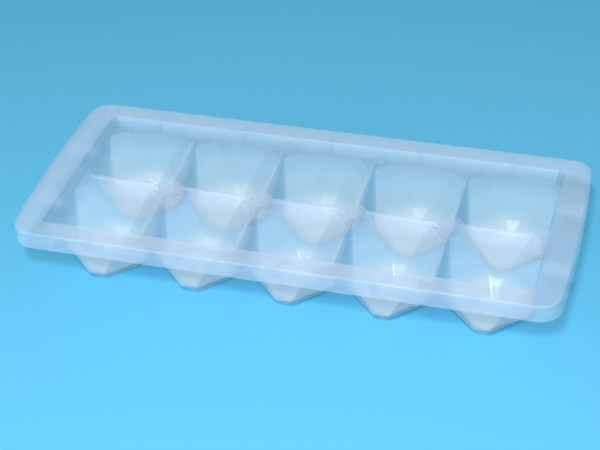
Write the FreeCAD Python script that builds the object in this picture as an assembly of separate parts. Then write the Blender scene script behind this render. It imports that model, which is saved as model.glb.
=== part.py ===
import FreeCAD, Part
import math
import os
from FreeCAD import Placement, Rotation, Vector

# Freezer ice cube tray: one translucent moulding with two rows of faceted pockets.
# Millimetres, +Z up. X runs along the tray and Y across it.
# The origin is on the ground, under the middle of the tray.
# The moulding is cut into zones that butt face to face and never overlap.

# Pattern of pockets
POCKETS_ALONG = 5
POCKETS_ACROSS = 2
POCKET_PITCH = 40.0

# Walls
WALL = 1.2
FLOOR_THICKNESS = 1.2
FLANGE_THICKNESS = 1.4
SKIRT_THICKNESS = 1.2

# Levels: the tray's height, drops from the flat top or from the ridges, and the waist's height from the ground
TRAY_HEIGHT = 33.7
RIDGE_DROP = 4.2
WEB_DROP = 2.1
SKIRT_DEPTH = 7.7
WAIST_HEIGHT = 8.3

# Pocket hollow, an octagon at every level: reach is from the pocket's axis to each of the four walls, and flat is
# half the length of that wall. The walls narrow to the waist, and below it the hollow bevels in to a small diamond.
MOUTH_REACH = 19.2
MOUTH_FLAT = 13.2
WAIST_REACH = 15.9
WAIST_FLAT = 3.05
FLOOR_REACH = 9.5
FLOOR_FLAT = 0.55

# Ridge between two pockets: half its length at the top, and how far each end runs out for 1 mm of drop
RIDGE_HALF_LENGTH = 13.2
RIDGE_END_RUN = 1.0

# Rim: flange width beyond the opening, how far each end bows out, and its corners and rounded edges
FLANGE_WIDTH_SIDE = 9.2
FLANGE_WIDTH_END = 10.25
END_BOW = 1.9
RIM_CORNER = 9.0
OPENING_CORNER = 3.0
RIM_EDGE_ROUND = 1.1
OPENING_EDGE_ROUND = 0.7

# Gusset ribs under the flange, between the skirt and the pockets
RIB_THICKNESS = 1.5
RIB_PITCH_ALONG = 39.15
RIB_PITCH_ACROSS = 39.0
RIB_SETBACK = 0.6

# Worked out from the sizes above
RIDGE_Z = TRAY_HEIGHT - RIDGE_DROP
WEB_Z = RIDGE_Z - WEB_DROP
FLANGE_UNDERSIDE = TRAY_HEIGHT - FLANGE_THICKNESS
SKIRT_BOTTOM = TRAY_HEIGHT - SKIRT_DEPTH
HALF_CELL = POCKET_PITCH / 2
WALL_SLOPE = (MOUTH_REACH - WAIST_REACH) / (RIDGE_Z - WAIST_HEIGHT)
MOUTH_REACH_AT_TOP = MOUTH_REACH + WALL_SLOPE * RIDGE_DROP
LAST_COLUMN_X = (POCKETS_ALONG - 1) * HALF_CELL
LAST_ROW_Y = (POCKETS_ACROSS - 1) * HALF_CELL
RIM_HALF_LENGTH = LAST_COLUMN_X + MOUTH_REACH_AT_TOP + FLANGE_WIDTH_END
RIM_HALF_WIDTH = LAST_ROW_Y + MOUTH_REACH_AT_TOP + FLANGE_WIDTH_SIDE
END_ZONE_X = LAST_COLUMN_X + MOUTH_REACH - OPENING_CORNER
BIG = 4 * (RIM_HALF_LENGTH + RIM_HALF_WIDTH + TRAY_HEIGHT)
LEVEL_TOLERANCE = 0.001

# The pocket's walls as rings of (reach, flat, height), from the floor up
RINGS = [
    (FLOOR_REACH, FLOOR_FLAT, FLOOR_THICKNESS),
    (WAIST_REACH, WAIST_FLAT, WAIST_HEIGHT),
    (MOUTH_REACH, MOUTH_FLAT, RIDGE_Z),
]
WALL_PROFILE = [(reach, height) for reach, flat, height in RINGS]
FACET_PROFILE = [((reach + flat) / math.sqrt(2), height) for reach, flat, height in RINGS]
UPPER_WALL = WALL_PROFILE[1:]
QUARTER_TURNS = [quarter * math.pi / 2 for quarter in range(4)]
EIGHTH_TURN = math.pi / 4


def box(x0, x1, y0, y1, z0, z1):
    return Part.makeBox(x1 - x0, y1 - y0, z1 - z0, Vector(x0, y0, z0))


def heading(angle):
    return Vector(math.cos(angle), math.sin(angle), 0)


def trim(shape, point, normal):
    """Takes away what lies on the normal's side of the plane through the point."""
    block = Part.makeBox(BIG, BIG, BIG, Vector(-BIG / 2, -BIG / 2, 0))
    block.Placement = Placement(point, Rotation(Vector(0, 0, 1), normal))
    return shape.cut(block)


def trim_wall(shape, profile, angle, grow, shift=Vector()):
    """Trims a shape to the walls that face one way. The profile is a list of (distance from the axis, height)."""
    for (low_reach, low_z), (high_reach, high_z) in zip(profile, profile[1:]):
        normal = heading(angle) * (high_z - low_z) - Vector(0, 0, high_reach - low_reach)
        normal.normalize()
        foot = heading(angle) * low_reach + Vector(0, 0, low_z) + shift
        shape = trim(shape, foot + normal * grow, normal)
    return shape


def pocket_hull(grow, bottom, top):
    """Faceted pocket at the origin, with every wall moved outwards by grow."""
    hull = box(-POCKET_PITCH, POCKET_PITCH, -POCKET_PITCH, POCKET_PITCH, bottom, top)
    for angle in QUARTER_TURNS:
        hull = trim_wall(hull, WALL_PROFILE, angle, grow)
        hull = trim_wall(hull, FACET_PROFILE, angle + EIGHTH_TURN, grow)
    return hull


def rising_edges(shape):
    return [edge for edge in shape.Edges if abs(edge.Vertexes[0].Z - edge.Vertexes[-1].Z) > LEVEL_TOLERANCE]


def basin(grow, bottom, top):
    """The opening's four outer walls as one tapered block over all the pockets, with rounded corners."""
    block = box(-BIG / 2, BIG / 2, -BIG / 2, BIG / 2, bottom, top)
    for angle in QUARTER_TURNS:
        shift = Vector(LAST_COLUMN_X * math.cos(angle), LAST_ROW_Y * math.sin(angle), 0)
        block = trim_wall(block, UPPER_WALL, angle, grow, shift)
    return block.makeFillet(OPENING_CORNER + grow, rising_edges(block))


def rim_block(inset, bottom, top):
    """Outline of the rim, drawn in by inset: straight long sides, bowed ends and round corners."""
    half_length = RIM_HALF_LENGTH - inset
    half_width = RIM_HALF_WIDTH - inset
    front_right = Vector(half_length, -half_width, bottom)
    back_right = Vector(half_length, half_width, bottom)
    back_left = Vector(-half_length, half_width, bottom)
    front_left = Vector(-half_length, -half_width, bottom)
    edges = [
        Part.Arc(front_right, Vector(half_length + END_BOW, 0, bottom), back_right).toShape(),
        Part.LineSegment(back_right, back_left).toShape(),
        Part.Arc(back_left, Vector(-half_length - END_BOW, 0, bottom), front_left).toShape(),
        Part.LineSegment(front_left, front_right).toShape(),
    ]
    block = Part.Face(Part.Wire(edges)).extrude(Vector(0, 0, top - bottom))
    return block.makeFillet(RIM_CORNER - inset, rising_edges(block))


def top_outline(shape, inside_only):
    """Edges of the flat top: the opening's own, or all of them."""
    top = max((face for face in shape.Faces if face.normalAt(0, 0).z > 0), key=lambda face: face.CenterOfMass.z)
    wires = [wire for wire in top.Wires if not (inside_only and wire.isSame(top.OuterWire))]
    return [edge for wire in wires for edge in wire.Edges]


def flange_ring():
    rounded = rim_block(0, SKIRT_BOTTOM, TRAY_HEIGHT)
    rounded = rounded.makeFillet(RIM_EDGE_ROUND, top_outline(rounded, False))
    plate = rounded.common(box(-BIG, BIG, -BIG, BIG, FLANGE_UNDERSIDE, TRAY_HEIGHT))
    ring = plate.cut(basin(0, WEB_Z, TRAY_HEIGHT + WALL))
    return ring.makeFillet(OPENING_EDGE_ROUND, top_outline(ring, True))


def skirt_ring():
    outside = rim_block(0, SKIRT_BOTTOM, FLANGE_UNDERSIDE)
    return outside.cut(rim_block(SKIRT_THICKNESS, SKIRT_BOTTOM - WALL, FLANGE_UNDERSIDE + WALL))


def four_sides(ring, name):
    """Cuts a ring round the tray into a front, a back and two ends."""
    zones = {
        "left": box(-BIG, -END_ZONE_X, -BIG, BIG, 0, BIG),
        "right": box(END_ZONE_X, BIG, -BIG, BIG, 0, BIG),
        "front": box(-END_ZONE_X, END_ZONE_X, -BIG, 0, 0, BIG),
        "back": box(-END_ZONE_X, END_ZONE_X, 0, BIG, 0, BIG),
    }
    return {f"{name}_{side}": ring.common(zone) for side, zone in zones.items()}


def spread(count, pitch):
    """Evenly spaced places about zero."""
    return [(i - (count - 1) / 2) * pitch for i in range(count)]


def rib_group(plates):
    """Trims raw rib plates to the space between the skirt's inside and the pockets' outer walls."""
    inside_skirt = rim_block(SKIRT_THICKNESS, SKIRT_BOTTOM, FLANGE_UNDERSIDE)
    pockets = basin(WALL, WAIST_HEIGHT, TRAY_HEIGHT)
    return Part.makeCompound([plate.common(inside_skirt).cut(pockets) for plate in plates])


def all_ribs():
    low = SKIRT_BOTTOM + RIB_SETBACK
    half = RIB_THICKNESS / 2
    groups = {}
    for side, sign in (("front", -1), ("back", 1)):
        near, far = sorted((sign * LAST_ROW_Y, sign * RIM_HALF_WIDTH))
        plates = [box(x - half, x + half, near, far, low, FLANGE_UNDERSIDE)
                  for x in spread(POCKETS_ALONG, RIB_PITCH_ALONG)]
        groups[f"ribs_{side}"] = rib_group(plates)
    for side, sign in (("left", -1), ("right", 1)):
        near, far = sorted((sign * LAST_COLUMN_X, sign * (RIM_HALF_LENGTH + END_BOW)))
        plates = [box(near, far, y - half, y + half, low, FLANGE_UNDERSIDE)
                  for y in spread(POCKETS_ACROSS, RIB_PITCH_ACROSS)]
        groups[f"ribs_{side}"] = rib_group(plates)
    return groups


def ridge_block():
    """Halves of the ridges round a pocket at the origin, standing on the web, with their ends sloped down to it."""
    block = box(-HALF_CELL, HALF_CELL, -HALF_CELL, HALF_CELL, WEB_Z, RIDGE_Z)
    hollow = box(-POCKET_PITCH, POCKET_PITCH, -POCKET_PITCH, POCKET_PITCH, WEB_Z - WALL, TRAY_HEIGHT)
    for angle in QUARTER_TURNS:
        out = heading(angle + EIGHTH_TURN)
        end = out * ((HALF_CELL + RIDGE_HALF_LENGTH) / math.sqrt(2)) + Vector(0, 0, RIDGE_Z)
        block = trim(block, end, out + Vector(0, 0, RIDGE_END_RUN))
        hollow = trim_wall(hollow, UPPER_WALL, angle, 0)
    return block.cut(hollow)


def cell_column(column, row, place):
    """The part of the plan that belongs to one pocket. An outer pocket's column runs on to the outside."""
    left = -BIG if column == 0 else place.x - HALF_CELL
    right = BIG if column == POCKETS_ALONG - 1 else place.x + HALF_CELL
    front = -BIG if row == 0 else place.y - HALF_CELL
    back = BIG if row == POCKETS_ACROSS - 1 else place.y + HALF_CELL
    return box(left, right, front, back, 0, FLANGE_UNDERSIDE)


def row_name(row):
    if row == 0:
        return "front"
    return "back" if row == POCKETS_ACROSS - 1 else f"middle_{row}"


def all_pockets():
    outside = pocket_hull(WALL, 0, WEB_Z)
    hollow = pocket_hull(0, FLOOR_THICKNESS, TRAY_HEIGHT + WALL)
    ridges = ridge_block()
    walls = basin(WALL, WEB_Z - WALL, FLANGE_UNDERSIDE)
    web_and_collar = walls.cut(basin(0, WEB_Z, TRAY_HEIGHT + WALL))
    pockets = {}
    for row, y in enumerate(spread(POCKETS_ACROSS, POCKET_PITCH)):
        for column, x in enumerate(spread(POCKETS_ALONG, POCKET_PITCH)):
            place = Vector(x, y, 0)
            cell = outside.translated(place).fuse(web_and_collar).common(cell_column(column, row, place))
            cell = cell.cut(hollow.translated(place))
            cell = cell.fuse(ridges.translated(place).common(walls)).removeSplitter()
            pockets[f"pocket_{row_name(row)}_{column + 1}"] = cell
    return pockets


def main():
    nodes = {}
    nodes.update(four_sides(flange_ring(), "flange"))
    nodes.update(four_sides(skirt_ring(), "skirt"))
    nodes.update(all_pockets())
    nodes.update(all_ribs())
    os.makedirs("parts", exist_ok=True)
    for name, shape in nodes.items():
        shape.exportStep(f"parts/{name}.step")
        print(name, "solids", len(shape.Solids), "valid", shape.isValid(), "volume mm3", round(shape.Volume, 1))


main()
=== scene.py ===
import math

import bmesh
import bpy
from mathutils import Matrix, Vector


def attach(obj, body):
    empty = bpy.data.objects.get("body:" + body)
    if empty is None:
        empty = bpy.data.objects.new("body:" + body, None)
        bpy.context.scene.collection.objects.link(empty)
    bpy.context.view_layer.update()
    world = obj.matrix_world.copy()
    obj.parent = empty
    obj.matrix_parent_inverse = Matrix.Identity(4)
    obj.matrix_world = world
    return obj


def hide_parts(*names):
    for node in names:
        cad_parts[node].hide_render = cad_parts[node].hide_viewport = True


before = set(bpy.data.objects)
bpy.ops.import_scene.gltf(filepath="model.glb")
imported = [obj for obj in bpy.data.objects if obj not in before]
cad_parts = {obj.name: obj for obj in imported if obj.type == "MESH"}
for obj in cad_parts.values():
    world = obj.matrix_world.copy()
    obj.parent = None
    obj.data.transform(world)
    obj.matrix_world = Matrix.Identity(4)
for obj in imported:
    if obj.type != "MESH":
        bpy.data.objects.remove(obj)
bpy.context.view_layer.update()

# Sizes in millimetres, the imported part's own. X runs along the tray, Y across it and +Z is up.
MM = 0.001
POCKETS_ALONG = 5
POCKETS_ACROSS = 2
PITCH = 40.0
HALF_CELL = PITCH / 2
LAST_COLUMN_X = (POCKETS_ALONG - 1) * HALF_CELL
LAST_ROW_Y = (POCKETS_ACROSS - 1) * HALF_CELL
WALL = 1.2
TRAY_HEIGHT = 33.7
FLANGE_UNDERSIDE = 32.3
RIDGE_Z = 29.5
WEB_Z = 27.4
SKIRT_BOTTOM = 26.0
SKIRT_THICKNESS = 1.2
RIDGE_HALF_LENGTH = 13.2

# Hollow of a pocket as (reach, flat, height): from its axis to each wall, half the wall's length, and the level
HOLLOW_RINGS = [(9.5, 0.55, 1.2), (15.9, 3.05, 8.3), (19.2, 13.2, RIDGE_Z)]

# Levels of the pockets' outside: the feet, the waist and the webs' underside, which is 0.6 below the solids'
FOOT_Z = 0.0
OUTER_WAIST_Z = 7.7
WEB_UNDERSIDE = 25.6

# Rim
RIM_HALF_LENGTH = 110.1
RIM_HALF_WIDTH = 49.05
END_BOW = 1.9
RIM_CORNER = 9.0
OPENING_CORNER = 3.0
CORNER_STEPS = 10
BOW_STEPS = 5

# Gusset ribs. They bite a little into the pockets' walls, and those at the ends reach out to the bowed skirt.
RIB_THICKNESS = 1.5
RIB_PITCH_ALONG = 39.15
RIB_PITCH_ACROSS = 39.0
RIB_FOOT_Z = 26.6
RIB_BITE = WALL / 8
BOW_SHARE_AT_END_RIBS = 0.84

# Rounded edges
RIM_ROUND = 0.7
OPENING_ROUND = 0.6
SKIRT_ROUND = 0.35
CREST_ROUND = 0.25
POCKET_ROUND = 0.6
ROUND_STEPS = 3

# Lines that tell where an edge lies: the rim is beyond the opening, and its outer edge beyond the rim's middle
LEVEL_TOLERANCE = 0.01
OPENING_HALF_LENGTH = 100.0
OPENING_HALF_WIDTH = 39.94
RIM_MIDDLE_X = 105.0
RIM_MIDDLE_Y = 45.0

# Angles between two faces, in radians. Edges flatter than the first are left as they are. An edge that isn't
# rounded is shaded sharp, unless it is flatter than the second.
FLAT_ANGLE = 0.12
SMOOTH_ANGLE = 0.4

# Plastic, by height: the share of what lies behind that one skin hides, and the colour of its milkiness. The milk
# colour holds painted light: it is lighter and bluer towards the feet, standing in for light scattered in the
# plastic and bounced up from the blue table, and darker at the rim as painted shade.
HAZE = [(0, 0.43), (15, 0.25), (27, 0.19), (31, 0.28)]
MILK_AND_PAINTED_LIGHT = [
    (0, (0.88, 0.97, 1.0, 1)),
    (17, (0.76, 0.86, 1.0, 1)),
    (27, (0.71, 0.80, 1.0, 1)),
    (31, (0.62, 0.70, 0.81, 1)),
]

# Camera: angles in radians, lengths in millimetres
CAMERA_AZIMUTH = 0.303
CAMERA_ELEVATION = 0.641
CAMERA_ROLL = -0.049
CAMERA_TARGET = (-2.327, -2.364, 20.0)
CAMERA_DISTANCE = 642.22
LENS = 93.55
SENSOR_WIDTH = 36.0

# Studio, in metres
FLOOR_SIZE = 6.0
LIGHT_TARGET = (0, 0, 0.02)
SKY_COLOUR = (0.86, 0.95, 1.0, 1)
SKY_STRENGTH = 0.36

# Kinds of eighth of a pocket's cell, by what its own wall and the next wall are
RIDGE_RIDGE, RIDGE_OUTER, OUTER_RIDGE, OUTER_OUTER = range(4)
MIRRORED = 4
RIM = 8


def level_ring(part, z, grow):
    """The pocket's octagon at height z, as (reach, flat), with its walls moved out by grow.

    Part 0 is below the waist and part 1 above it.
    """
    (reach_0, flat_0, z_0), (reach_1, flat_1, z_1) = HOLLOW_RINGS[part], HOLLOW_RINGS[part + 1]

    def at(low, high):
        slope = (high - low) / (z_1 - z_0)
        return low + slope * (z - z_0) + grow * math.hypot(1, slope)

    reach = at(reach_0, reach_1)
    facet = at((reach_0 + flat_0) / math.sqrt(2), (reach_1 + flat_1) / math.sqrt(2))
    return reach, facet * math.sqrt(2) - reach


def corner_arc(reach, radius, z):
    """Half of the opening's rounded corner, from the straight wall to the diagonal."""
    centre = reach - radius
    steps = CORNER_STEPS // 2
    angles = [i / steps * math.pi / 4 for i in range(steps + 1)]
    return [(centre + radius * math.cos(angle), centre + radius * math.sin(angle), z) for angle in angles]


def cell_eighth(kind):
    """Faces of one eighth of a cell, between a wall's middle and the diagonal. The wall is at +X."""
    own_outer = kind in (OUTER_RIDGE, OUTER_OUTER)
    next_outer = kind in (RIDGE_OUTER, OUTER_OUTER)
    top_faces, under_faces = [], []
    for faces, levels, grow, rim_z in (
        (top_faces, [(0, HOLLOW_RINGS[0][2]), (1, HOLLOW_RINGS[1][2]), (1, WEB_Z)], 0, TRAY_HEIGHT),
        (under_faces, [(0, FOOT_Z), (1, OUTER_WAIST_Z), (1, WEB_UNDERSIDE)], WALL, FLANGE_UNDERSIDE),
    ):
        rings = []
        for part, z in levels:
            reach, flat = level_ring(part, z, grow)
            middle = (reach + flat) / 2
            rings.append([(reach, 0, z), (reach, flat, z), (middle, middle, z)])
        floor = rings[0]
        faces.append([(0, 0, floor[0][2]), *floor])
        for low, high in zip(rings, rings[1:]):
            faces.append([low[0], high[0], high[1], low[1]])
            faces.append([low[1], high[1], high[2], low[2]])
        wall_mid, wall_end, facet_mid = rings[-1]
        reach, web_z = wall_mid[0], wall_mid[2]
        rim_reach = level_ring(1, rim_z, grow)[0]
        if kind == OUTER_OUTER:
            foot_arc = corner_arc(reach, OPENING_CORNER + grow, web_z)
            rim_arc = corner_arc(rim_reach, OPENING_CORNER + grow, rim_z)
            faces.append([wall_end, *foot_arc, facet_mid])
            faces.append([wall_mid, (rim_reach, 0, rim_z), rim_arc[0], foot_arc[0], wall_end])
            for i in range(len(foot_arc) - 1):
                faces.append([foot_arc[i], rim_arc[i], rim_arc[i + 1], foot_arc[i + 1]])
        elif own_outer:
            corner = (reach, reach, web_z)
            faces.append([wall_end, corner, facet_mid])
            rim_edge = [(rim_reach, 0, rim_z), (rim_reach, HALF_CELL, rim_z)]
            faces.append([wall_mid, *rim_edge, (reach, HALF_CELL, web_z), corner, wall_end])
        else:
            if next_outer:
                far = [(HALF_CELL, reach, web_z), (reach, reach, web_z)]
            else:
                far = [(HALF_CELL, HALF_CELL, web_z)]
            if grow:
                faces.append([wall_mid, (HALF_CELL, 0, web_z), *far, facet_mid, wall_end])
            else:
                faces.extend(ridge_faces(wall_mid, wall_end, facet_mid, far))
    return top_faces, under_faces


def ridge_faces(wall_mid, wall_end, facet_mid, far):
    """Half of a ridge's top and sloping end, and the web beyond it as far as the given points."""
    reach = wall_mid[0]
    ridge_reach = HOLLOW_RINGS[2][0]
    ridge_end = HALF_CELL + RIDGE_HALF_LENGTH
    web_end = ridge_end + (RIDGE_Z - WEB_Z) * math.sqrt(2)
    side_top = (ridge_reach, ridge_end - ridge_reach, RIDGE_Z)
    side_foot = (reach, web_end - reach, WEB_Z)
    crest_end = (HALF_CELL, ridge_end - HALF_CELL, RIDGE_Z)
    crest_foot = (HALF_CELL, web_end - HALF_CELL, WEB_Z)
    crest_mid = (ridge_reach, 0, RIDGE_Z)
    return [
        [wall_mid, crest_mid, side_top, side_foot, wall_end],
        [crest_mid, (HALF_CELL, 0, RIDGE_Z), crest_end, side_top],
        [side_top, crest_end, crest_foot, side_foot],
        [wall_end, side_foot, crest_foot, *far, facet_mid],
    ]


def rim_outline(inset, z):
    """Outline of the rim over the front right quarter.

    Gives its points, and the places among them of those that face a point of the opening's outline.
    """
    half_length, half_width, radius = RIM_HALF_LENGTH - inset, RIM_HALF_WIDTH - inset, RIM_CORNER - inset
    bow_radius = (half_width ** 2 + END_BOW ** 2) / (2 * END_BOW)
    bow_centre = half_length + END_BOW - bow_radius
    # The corner's circle touches the straight side and, from inside, the bowed end
    corner_y = -half_width + radius
    corner_x = bow_centre + math.sqrt((bow_radius - radius) ** 2 - corner_y ** 2)
    end_angle = math.atan2(corner_y, corner_x - bow_centre)
    corner = []
    for i in range(CORNER_STEPS + 1):
        angle = -math.pi / 2 + (end_angle + math.pi / 2) * i / CORNER_STEPS
        corner.append((corner_x + radius * math.cos(angle), corner_y + radius * math.sin(angle), z))
    points = [(HALF_CELL * i, corner[0][1], z) for i in range(POCKETS_ALONG)] + corner
    facing = list(range(len(points)))
    start_y = corner[-1][1]
    for row in range(POCKETS_ACROSS):
        end_y = HALF_CELL * row - LAST_ROW_Y
        for i in range(1, BOW_STEPS + 1):
            y = start_y + (end_y - start_y) * i / BOW_STEPS
            points.append((bow_centre + math.sqrt(bow_radius ** 2 - y ** 2), y, z))
        facing.append(len(points) - 1)
        start_y = end_y
    return points, facing


def opening_outline(reach, radius, z):
    """Outline of the rim's opening over the same quarter."""
    arc = corner_arc(reach, radius, z)
    points = [(HALF_CELL * i, -LAST_ROW_Y - reach, z) for i in range(POCKETS_ALONG)]
    points += [(LAST_COLUMN_X + a, -LAST_ROW_Y - r, z) for r, a, z in arc[:-1]]
    points += [(LAST_COLUMN_X + r, -LAST_ROW_Y - a, z) for r, a, z in arc[::-1]]
    points += [(LAST_COLUMN_X + reach, HALF_CELL * row - LAST_ROW_Y, z) for row in range(POCKETS_ACROSS)]
    return points


def rim_faces():
    """Faces of the flange and skirt, which close the mesh between the cells' upper and lower skins."""
    outlines = [
        rim_outline(0, TRAY_HEIGHT),
        rim_outline(0, SKIRT_BOTTOM),
        rim_outline(SKIRT_THICKNESS, SKIRT_BOTTOM),
        rim_outline(SKIRT_THICKNESS, FLANGE_UNDERSIDE),
    ]
    top_reach = level_ring(1, TRAY_HEIGHT, 0)[0]
    under_reach = level_ring(1, FLANGE_UNDERSIDE, WALL)[0]
    top = opening_outline(top_reach, OPENING_CORNER, TRAY_HEIGHT)
    under = opening_outline(under_reach, OPENING_CORNER + WALL, FLANGE_UNDERSIDE)
    faces = []
    for (low, _), (high, _) in zip(outlines, outlines[1:]):
        for i in range(len(low) - 1):
            faces.append([low[i], high[i], high[i + 1], low[i + 1]])
    for inner, (points, facing), turned in ((top, outlines[0], False), (under, outlines[-1], True)):
        for i in range(len(inner) - 1):
            face = [inner[i], *points[facing[i]:facing[i + 1] + 1], inner[i + 1]]
            faces.append(face[::-1] if turned else face)
    whole = []
    for sx in (1, -1):
        for sy in (1, -1):
            for face in faces:
                mirrored = [(sx * x, sy * y, z) for x, y, z in face]
                whole.append(mirrored if sx * sy > 0 else mirrored[::-1])
    return whole


def kit_of_parts():
    """One mesh with every kind of cell eighth and the rim. The face attribute says which is which."""
    bm = bmesh.new()
    kind_layer = bm.faces.layers.int.new("kind")

    def add(faces, kind):
        known = {}
        for face in faces:
            corners = []
            for x, y, z in face:
                key = (round(x, 4), round(y, 4), round(z, 4))
                if key not in known:
                    known[key] = bm.verts.new((x * MM, y * MM, z * MM))
                if known[key] not in corners:
                    corners.append(known[key])
            if len(corners) > 2:
                bm.faces.new(corners)[kind_layer] = kind

    for kind in (RIDGE_RIDGE, RIDGE_OUTER, OUTER_RIDGE, OUTER_OUTER):
        top, under = cell_eighth(kind)
        faces = top + [face[::-1] for face in under]
        add(faces, kind)
        add([[(x, -y, z) for x, y, z in face[::-1]] for face in faces], kind + MIRRORED)
    add(rim_faces(), RIM)
    mesh = bpy.data.meshes.new("kit_of_parts")
    bm.to_mesh(mesh)
    bm.free()
    return mesh


def plain_copy(source, name):
    """The object as its modifiers leave it, as a plain mesh object."""
    bpy.context.view_layer.update()
    evaluated = source.evaluated_get(bpy.context.evaluated_depsgraph_get())
    mesh = bpy.data.meshes.new_from_object(evaluated)
    mesh.name = name
    made = bpy.data.objects.new(name, mesh)
    bpy.context.scene.collection.objects.link(made)
    return made


class Tree:
    """A geometry node tree with named inputs."""

    def __init__(self, name):
        self.group = bpy.data.node_groups.new(name, "GeometryNodeTree")
        self.group.interface.new_socket(name="Geometry", in_out="OUTPUT", socket_type="NodeSocketGeometry")
        self.sockets = {}
        self.source = None

    def input(self, name, kind, value=None):
        item = self.group.interface.new_socket(name=name, in_out="INPUT", socket_type=kind)
        self.sockets[name] = (item.identifier, value)

    def begin(self):
        self.source = self.group.nodes.new("NodeGroupInput")

    def get(self, name):
        return self.source.outputs[name]

    def node(self, kind, settings=None, **inputs):
        """A new node. Its inputs are given by name, with _ for a space, or by place as i0, i1 and so on."""
        made = self.group.nodes.new(kind)
        for key, value in (settings or {}).items():
            setattr(made, key, value)
        for key, value in inputs.items():
            by_place = key[0] == "i" and key[1:].isdigit()
            socket = made.inputs[int(key[1:])] if by_place else made.inputs[key.replace("_", " ")]
            for one in value if isinstance(value, list) else [value]:
                if isinstance(one, bpy.types.NodeSocket):
                    self.group.links.new(one, socket)
                elif one is not None:
                    socket.default_value = one
        return made

    def math(self, operation, a, b=None):
        return self.node("ShaderNodeMath", {"operation": operation}, i0=a, i1=b).outputs[0]

    def vector(self, **parts):
        return self.node("ShaderNodeCombineXYZ", **parts).outputs[0]

    def join(self, pieces):
        """Pieces and instances as one real mesh."""
        joined = self.node("GeometryNodeJoinGeometry", Geometry=pieces).outputs[0]
        return self.node("GeometryNodeRealizeInstances", Geometry=joined).outputs[0]

    def finish(self, geometry, material):
        real = self.node("GeometryNodeRealizeInstances", Geometry=geometry).outputs[0]
        painted = self.node("GeometryNodeSetMaterial", Geometry=real, Material=material)
        out = self.group.nodes.new("NodeGroupOutput")
        self.group.links.new(painted.outputs[0], out.inputs[0])

    def run_on(self, mesh, name):
        """The tree's result as a plain mesh object."""
        carrier = bpy.data.objects.new(name + "_kit", mesh)
        bpy.context.scene.collection.objects.link(carrier)
        modifier = carrier.modifiers.new(name, "NODES")
        modifier.node_group = self.group
        for identifier, value in self.sockets.values():
            if value is not None:
                modifier[identifier] = value
        result = plain_copy(carrier, name)
        bpy.data.objects.remove(carrier)
        return result


def lattice(tree):
    pitch = tree.get("Pocket pitch")
    half_pitch = tree.math("MULTIPLY", pitch, 0.5)
    half_x = tree.math("MULTIPLY", tree.math("SUBTRACT", tree.get("Pockets along"), 1.0), half_pitch)
    half_y = tree.math("MULTIPLY", tree.math("SUBTRACT", tree.get("Pockets across"), 1.0), half_pitch)
    axes = tree.node(
        "GeometryNodeMeshGrid",
        Size_X=tree.math("MULTIPLY", half_x, 2.0),
        Size_Y=tree.math("MULTIPLY", half_y, 2.0),
        Vertices_X=tree.get("Pockets along"),
        Vertices_Y=tree.get("Pockets across"),
    ).outputs["Mesh"]
    place = tree.node("ShaderNodeSeparateXYZ", i0=tree.node("GeometryNodeInputPosition").outputs[0])
    kind = tree.node("GeometryNodeInputNamedAttribute", {"data_type": "INT"}, Name="kind").outputs[0]
    is_rim = tree.node("FunctionNodeCompare", {"data_type": "INT", "operation": "EQUAL"}, i2=kind, i3=RIM)
    rim, cells = tree.node("GeometryNodeSeparateGeometry", {"domain": "FACE"},
                           Geometry=tree.get("Kit"), Selection=is_rim.outputs[0]).outputs
    eighths = tree.node("GeometryNodeSplitToInstances", {"domain": "FACE"}, Geometry=cells, Group_ID=kind)
    outer = []
    for axis, sign, half in ((0, 1, half_x), (1, 1, half_y), (0, -1, half_x), (1, -1, half_y)):
        along = tree.math("MULTIPLY", place.outputs[axis], float(sign))
        outer.append(tree.math("GREATER_THAN", along, tree.math("SUBTRACT", half, half_pitch)))
    pieces = [rim]
    for quarter in range(4):
        for turn, shift in ((1, 0), (-1, MIRRORED)):
            own = tree.math("MULTIPLY", outer[quarter], float(OUTER_RIDGE))
            pick = tree.math("ADD", tree.math("ADD", own, outer[(quarter + turn) % 4]), float(shift))
            placed = tree.node(
                "GeometryNodeInstanceOnPoints", Points=axes, Instance=eighths.outputs[0], Pick_Instance=True,
                Instance_Index=pick, Rotation=(0, 0, quarter * math.pi / 2))
            pieces.append(placed.outputs[0])
    welded = tree.node("GeometryNodeMergeByDistance", Geometry=tree.join(pieces), Distance=tree.get("Weld distance"))
    return welded.outputs[0]


def rib_rows(tree, row, out, pockets, near, far):
    """Gusset ribs on two opposite sides, in rows along one axis, and from near to far along the other."""
    word = "along" if row == "X" else "across"
    pitch = tree.get("Rib pitch " + word)
    top_z = (TRAY_HEIGHT + FLANGE_UNDERSIDE) / 2
    size = tree.vector(**{row: tree.get("Rib thickness"), out: (far - near) * MM, "Z": (top_z - RIB_FOOT_Z) * MM})
    bar = tree.node("GeometryNodeMeshCube", Size=size).outputs[0]
    rows = []
    for sign in (-1, 1):
        first = tree.vector(**{
            row: tree.math("MULTIPLY", pitch, -(pockets - 1) / 2),
            out: sign * (near + far) / 2 * MM,
            "Z": (top_z + RIB_FOOT_Z) / 2 * MM,
        })
        line = tree.node("GeometryNodeMeshLine", Count=tree.get("Pockets " + word), Start_Location=first,
                         Offset=tree.vector(**{row: pitch}))
        rows.append(tree.node("GeometryNodeInstanceOnPoints", Points=line.outputs[0], Instance=bar).outputs[0])
    return rows


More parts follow.
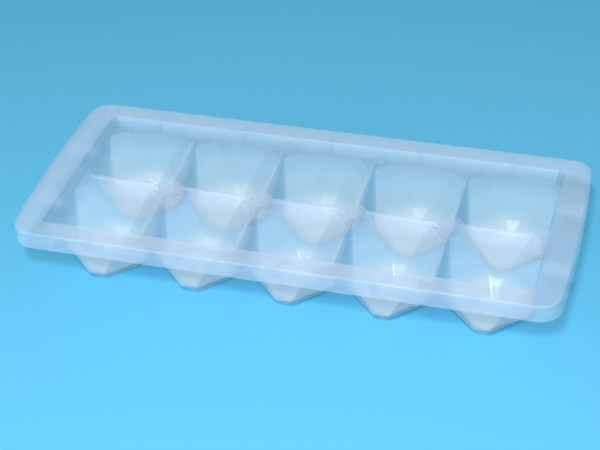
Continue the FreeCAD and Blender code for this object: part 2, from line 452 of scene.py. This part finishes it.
def tray_tree(material):
    tree = Tree("Pocket lattice with rim and ribs")
    tree.input("Kit", "NodeSocketGeometry")
    tree.input("Pockets along", "NodeSocketInt", POCKETS_ALONG)
    tree.input("Pockets across", "NodeSocketInt", POCKETS_ACROSS)
    tree.input("Pocket pitch", "NodeSocketFloat", PITCH * MM)
    tree.input("Weld distance", "NodeSocketFloat", 0.02 * MM)
    tree.input("Rib thickness", "NodeSocketFloat", RIB_THICKNESS * MM)
    tree.input("Rib pitch along", "NodeSocketFloat", RIB_PITCH_ALONG * MM)
    tree.input("Rib pitch across", "NodeSocketFloat", RIB_PITCH_ACROSS * MM)
    tree.begin()
    wall = level_ring(1, RIB_FOOT_Z, WALL)[0] - RIB_BITE
    side_skirt = RIM_HALF_WIDTH - SKIRT_THICKNESS / 2
    end_skirt = RIM_HALF_LENGTH + END_BOW * BOW_SHARE_AT_END_RIBS - SKIRT_THICKNESS / 2
    side_ribs = rib_rows(tree, "X", "Y", POCKETS_ALONG, LAST_ROW_Y + wall, side_skirt)
    end_ribs = rib_rows(tree, "Y", "X", POCKETS_ACROSS, LAST_COLUMN_X + wall, end_skirt)
    fused = tree.node("GeometryNodeMeshBoolean", {"operation": "UNION", "solver": "MANIFOLD"})
    for skin in (lattice(tree), tree.join(side_ribs + end_ribs)):
        tree.group.links.new(skin, fused.inputs["Mesh 2"])
    tree.finish(fused.outputs[0], material)
    return tree


def plain_material(name, colour, roughness):
    material = bpy.data.materials.new(name)
    material.use_nodes = True
    shader = material.node_tree.nodes["Principled BSDF"]
    shader.inputs["Base Color"].default_value = (*colour, 1)
    shader.inputs["Roughness"].default_value = roughness
    shader.inputs["Specular IOR Level"].default_value = 0.0
    return material


def tray_plastic():
    """Undyed polypropylene: a milky haze over what lies behind it, denser towards the feet, with a satin skin. Its
    milk colour carries painted light, lighter and bluer towards the feet and darker at the rim.
    """
    material = bpy.data.materials.new("natural_polypropylene")
    material.use_nodes = True
    nodes, links = material.node_tree.nodes, material.node_tree.links
    shader = nodes["Principled BSDF"]
    where = nodes.new("ShaderNodeTexCoord").outputs["Object"]

    def node(kind, **inputs):
        made = nodes.new(kind)
        for key, value in inputs.items():
            socket = made.inputs[key.replace("_", " ")]
            if isinstance(value, bpy.types.NodeSocket):
                links.new(value, socket)
            else:
                socket.default_value = value
        return made

    def noise(scale, detail):
        """Noise with that many waves to the metre."""
        return node("ShaderNodeTexNoise", Vector=where, Scale=scale, Detail=detail).outputs["Fac"]

    def spread(value, low, high):
        """Noise, which lies mostly between 0.3 and 0.7, brought to the given range."""
        ranged = node("ShaderNodeMapRange", Value=value, From_Min=0.3, From_Max=0.7, To_Min=low, To_Max=high)
        return ranged.outputs[0]

    def times(a, b):
        made = nodes.new("ShaderNodeMath")
        made.operation = "MULTIPLY"
        links.new(a, made.inputs[0])
        links.new(b, made.inputs[1])
        return made.outputs[0]

    height = node("ShaderNodeSeparateXYZ", Vector=where).outputs["Z"]
    rise = node("ShaderNodeMapRange", Value=height, From_Min=FOOT_Z * MM, From_Max=TRAY_HEIGHT * MM).outputs[0]

    def height_ramp(stops):
        """A colour or grey that changes with height, from stops of (height in mm, colour)."""
        ramp = nodes.new("ShaderNodeValToRGB")
        ramp.color_ramp.interpolation = "EASE"
        while len(ramp.color_ramp.elements) < len(stops):
            ramp.color_ramp.elements.new(0.5)
        for element, (level, colour) in zip(ramp.color_ramp.elements, stops):
            element.position = level / TRAY_HEIGHT
            element.color = colour if isinstance(colour, tuple) else (colour, colour, colour, 1)
        links.new(rise, ramp.inputs["Fac"])
        return ramp.outputs["Color"]

    clouds = spread(noise(scale=55, detail=3), 0.95, 1.05)
    satin = spread(noise(scale=120, detail=4), 0.34, 0.44)
    flow = node("ShaderNodeBump", Height=noise(scale=260, detail=4), Strength=0.08, Distance=0.4 * MM)
    grain = node("ShaderNodeBump", Height=noise(scale=2600, detail=2), Strength=0.05, Distance=0.05 * MM,
                 Normal=flow.outputs[0])
    links.new(times(height_ramp(HAZE), clouds), shader.inputs["Alpha"])
    # Milk colour by height, with painted light and shade: lighter and bluer towards the feet, darker at the rim
    links.new(height_ramp(MILK_AND_PAINTED_LIGHT), shader.inputs["Base Color"])
    links.new(satin, shader.inputs["Roughness"])
    links.new(grain.outputs[0], shader.inputs["Normal"])
    shader.inputs["IOR"].default_value = 1.49
    shader.inputs["Subsurface Weight"].default_value = 0.8
    shader.inputs["Subsurface Radius"].default_value = (2 * MM, 2 * MM, 2 * MM)
    shader.inputs["Subsurface Scale"].default_value = 1.0
    shader.inputs["Coat Weight"].default_value = 0.5
    shader.inputs["Coat Roughness"].default_value = 0.08
    return material


def edge_radius(edge):
    """The rounding of an edge, in millimetres, by where it lies."""
    low, high = sorted(v.co.z / MM for v in edge.verts)
    middle = (edge.verts[0].co + edge.verts[1].co) / 2 / MM
    x, y = abs(middle.x), abs(middle.y)
    beyond_opening = x > OPENING_HALF_LENGTH or y > OPENING_HALF_WIDTH

    def lies_at(z):
        return low > z - LEVEL_TOLERANCE and high < z + LEVEL_TOLERANCE

    if lies_at(TRAY_HEIGHT):
        return RIM_ROUND if x > RIM_MIDDLE_X or y > RIM_MIDDLE_Y else OPENING_ROUND
    if beyond_opening and lies_at(SKIRT_BOTTOM):
        return SKIRT_ROUND
    if lies_at(WEB_UNDERSIDE):
        return 0.0
    if lies_at(RIDGE_Z):
        return CREST_ROUND
    if beyond_opening and low > SKIRT_BOTTOM - LEVEL_TOLERANCE:
        return 0.0
    if low > WEB_Z - LEVEL_TOLERANCE:
        return CREST_ROUND
    if high < WEB_Z + LEVEL_TOLERANCE:
        return POCKET_ROUND
    return 0.0


def round_edges(body):
    """Rounds the moulding's edges. Each edge's weight is its radius as a share of the largest one."""
    largest = max(RIM_ROUND, OPENING_ROUND, SKIRT_ROUND, CREST_ROUND, POCKET_ROUND)
    bm = bmesh.new()
    bm.from_mesh(body.data)
    bmesh.ops.dissolve_limit(bm, angle_limit=0.001, verts=bm.verts, edges=bm.edges)
    weight = bm.edges.layers.float.new("bevel_weight_edge")
    for edge in bm.edges:
        angle = edge.calc_face_angle(0)
        if angle < FLAT_ANGLE:
            continue
        radius = edge_radius(edge)
        edge[weight] = radius / largest
        edge.smooth = radius > 0 or angle < SMOOTH_ANGLE
    bm.to_mesh(body.data)
    bm.free()
    body.data.shade_smooth()
    bevel = body.modifiers.new("moulded edges", "BEVEL")
    bevel.limit_method = "WEIGHT"
    bevel.width = largest * MM
    bevel.segments = ROUND_STEPS
    bevel.harden_normals = True
    bevel.use_clamp_overlap = False
    bevel.miter_outer = "MITER_ARC"
    finished = plain_copy(body, "tray")
    bpy.data.objects.remove(body)
    return finished


def camera():
    """Long lens from the front right, looking down on the tray."""
    flat = math.cos(CAMERA_ELEVATION)
    back = Vector((math.sin(CAMERA_AZIMUTH) * flat, -math.cos(CAMERA_AZIMUTH) * flat, math.sin(CAMERA_ELEVATION)))
    right = Vector((math.cos(CAMERA_AZIMUTH), math.sin(CAMERA_AZIMUTH), 0))
    up = back.cross(right)
    turned_right = right * math.cos(CAMERA_ROLL) + up * math.sin(CAMERA_ROLL)
    turned_up = -right * math.sin(CAMERA_ROLL) + up * math.cos(CAMERA_ROLL)
    data = bpy.data.cameras.new("camera")
    data.sensor_width = SENSOR_WIDTH
    data.lens = LENS
    data.clip_start, data.clip_end = 0.01, 20
    made = bpy.data.objects.new("camera", data)
    bpy.context.scene.collection.objects.link(made)
    rotation = Matrix((turned_right, turned_up, back)).transposed().to_4x4()
    eye = Vector(CAMERA_TARGET) * MM + back * CAMERA_DISTANCE * MM
    made.matrix_world = Matrix.Translation(eye) @ rotation
    bpy.context.scene.camera = made


def soft_light(name, place, size, watts, colour=(1, 1, 1)):
    """A rectangular light that faces the tray."""
    data = bpy.data.lights.new(name, "AREA")
    data.shape = "RECTANGLE"
    data.size, data.size_y = size
    data.energy = watts
    data.color = colour
    made = bpy.data.objects.new(name, data)
    bpy.context.scene.collection.objects.link(made)
    direction = Vector(place) - Vector(LIGHT_TARGET)
    made.location = place
    made.rotation_euler = direction.to_track_quat("Z", "Y").to_euler()


def studio():
    """A plain pale blue table under a small softbox above the camera, with a soft fill on either side."""
    bpy.ops.mesh.primitive_plane_add(size=FLOOR_SIZE)
    floor = bpy.context.object
    floor.name = "floor"
    floor.data.materials.append(plain_material("pale_blue_table", colour=(0.125, 0.495, 0.73), roughness=0.8))
    world = bpy.data.worlds.new("studio")
    bpy.context.scene.world = world
    world.use_nodes = True
    sky = world.node_tree.nodes["Background"]
    sky.inputs["Color"].default_value = SKY_COLOUR
    sky.inputs["Strength"].default_value = SKY_STRENGTH
    soft_light("key_softbox", place=(0.12, -0.55, 0.60), size=(0.06, 0.06), watts=6.45, colour=(0.94, 0.97, 1.0))
    soft_light("right_fill", place=(1.0, -0.45, 0.4), size=(0.7, 0.5), watts=1.2)
    soft_light("left_fill", place=(-0.8, -0.8, 0.4), size=(0.7, 0.5), watts=3.8)
    bpy.context.scene.view_settings.view_transform = "Standard"


plastic = tray_plastic()
body = tray_tree(plastic).run_on(kit_of_parts(), "tray_body")
tray = round_edges(body)
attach(tray, "root")
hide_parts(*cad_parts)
camera()
studio()
